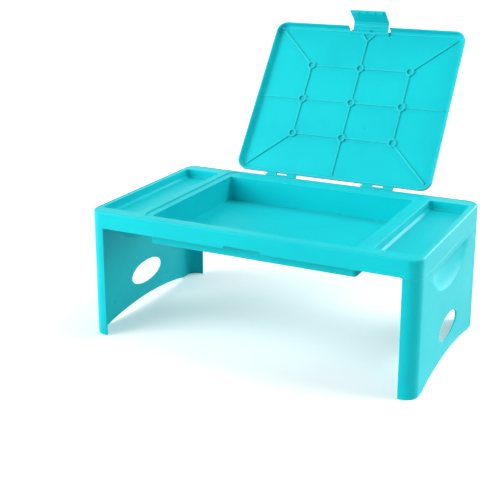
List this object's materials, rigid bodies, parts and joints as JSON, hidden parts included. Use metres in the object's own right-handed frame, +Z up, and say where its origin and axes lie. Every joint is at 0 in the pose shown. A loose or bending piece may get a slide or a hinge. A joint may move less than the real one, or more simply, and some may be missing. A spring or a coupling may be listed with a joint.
{
  "type": "lap desk",
  "caption": "Moulded lap desk with a lift lid over a deep well, a pen tray at each end and two folding legs.",
  "frame": {"origin": "on the floor, under the middle of the whole object's box with the lid standing open", "axes": "+X to the desk's right seen from its front, +Y to its back where the lid is hinged, +Z up"},
  "size_m": [0.56, 0.548, 0.5039],
  "materials": {
    "tray": "smooth satin moulded polypropylene, turquoise",
    "lid": "smooth satin moulded polypropylene, turquoise",
    "latch_flap": "smooth satin moulded polypropylene, turquoise",
    "left_leg": "smooth satin moulded polypropylene, turquoise",
    "right_leg": "smooth satin moulded polypropylene, turquoise",
    "pins": "plain moulded plastic, turquoise"
  },
  "bodies": {
    "tray": {"tray": "tray", "left_hinge_pin": "pins", "right_hinge_pin": "pins", "left_front_pivot_pin": "pins", "left_rear_pivot_pin": "pins", "right_front_pivot_pin": "pins", "right_rear_pivot_pin": "pins"},
    "lid": {"lid": "lid", "latch_pin": "pins"},
    "latch_flap": {"latch_flap": "latch_flap"},
    "left_leg": {"left_leg": "left_leg"},
    "right_leg": {"right_leg": "right_leg"}
  },
  "joints": [
    {"name": "lid_hinge", "type": "hinge", "parent": "tray", "child": "lid", "pos_m": [0, 0.06321, 0.2138], "axis": [1, 0, 0], "range_deg": [0, 127]},
    {"name": "flap_hinge", "type": "hinge", "parent": "lid", "child": "latch_flap", "pos_m": [0, 0.26299, 0.45981], "axis": [1, 0, 0], "range_deg": [-85, 5]},
    {"name": "left_leg_fold", "type": "hinge", "parent": "tray", "child": "left_leg", "pos_m": [-0.2465, -0.26959, 0.195], "axis": [0, -1, 0], "range_deg": [0, 90]},
    {"name": "right_leg_fold", "type": "hinge", "parent": "tray", "child": "right_leg", "pos_m": [0.2465, -0.26959, 0.195], "axis": [0, 1, 0], "range_deg": [0, 90]}
  ]
}
